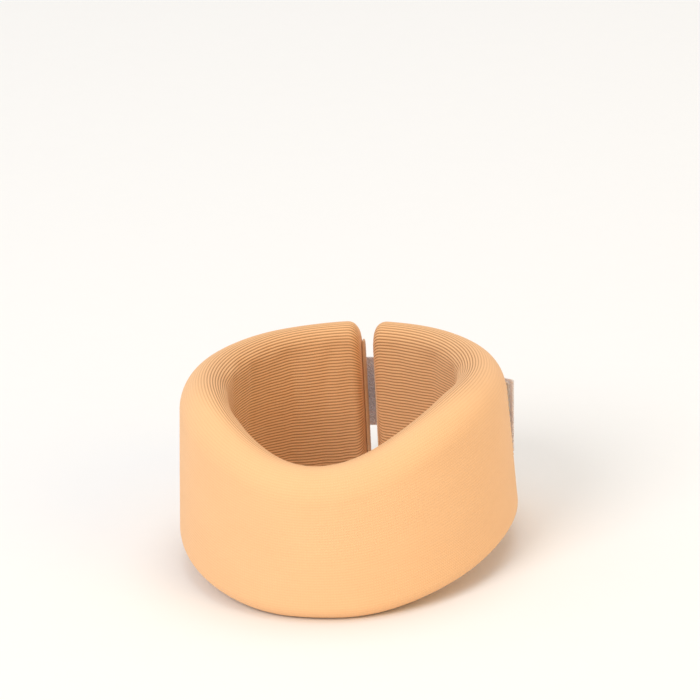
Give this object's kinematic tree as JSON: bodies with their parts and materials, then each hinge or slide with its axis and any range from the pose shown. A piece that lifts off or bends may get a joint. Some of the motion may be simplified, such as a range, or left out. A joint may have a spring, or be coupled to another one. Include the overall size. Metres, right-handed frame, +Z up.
{
  "type": "soft cervical collar",
  "caption": "Padded soft neck collar: a ribbed knit sleeve over a curved foam band, lower at the chin, closed at the nape by a hook and loop strap.",
  "frame": {"origin": "middle of the footprint, on the surface the collar stands on, inside the empty neck space", "axes": "+Z up; the chin is at -Y and the nape at +Y; +X is the wearer's left"},
  "size_m": [0.1634, 0.1854, 0.0912],
  "materials": {
    "foam_core_front": "open-cell polyurethane foam, matt",
    "foam_core_wing": "open-cell polyurethane foam, matt",
    "cover_front": "ribbed cotton knit, matt",
    "cover_wing": "ribbed cotton knit, matt",
    "end_seam_left": "folded and sewn knit",
    "end_seam_right": "folded and sewn knit",
    "loop_panel": "brushed loop pile",
    "loop_panel_stitching": "polyester thread",
    "strap_base": "woven tape",
    "strap_base_stitching": "polyester thread",
    "strap_band": "woven tape",
    "hook_tape": "moulded nylon hooks",
    "hook_tape_stitching": "polyester thread"
  },
  "bodies": {
    "collar": {"foam_core_front": "foam_core_front", "cover_front": "cover_front", "end_seam_left": "end_seam_left", "loop_panel": "loop_panel", "loop_panel_stitching": "loop_panel_stitching"},
    "strap_wing": {"foam_core_wing": "foam_core_wing", "cover_wing": "cover_wing", "end_seam_right": "end_seam_right", "strap_base": "strap_base", "strap_base_stitching": "strap_base_stitching"},
    "closure_strap": {"strap_band": "strap_band", "hook_tape": "hook_tape", "hook_tape_stitching": "hook_tape_stitching"}
  },
  "joints": [
    {"name": "wing_open", "type": "hinge", "parent": "collar", "child": "strap_wing", "pos_m": [-0.08189, 0.00592, 0.046], "axis": [0, 0, 1], "range_deg": [0, 80], "stiffness_Nm_per_rad": 0.04},
    {"name": "strap_peel", "type": "hinge", "parent": "strap_wing", "child": "closure_strap", "pos_m": [-0.00638, 0.09211, 0.047], "axis": [0, 0, 1], "range_deg": [0, 110]}
  ]
}
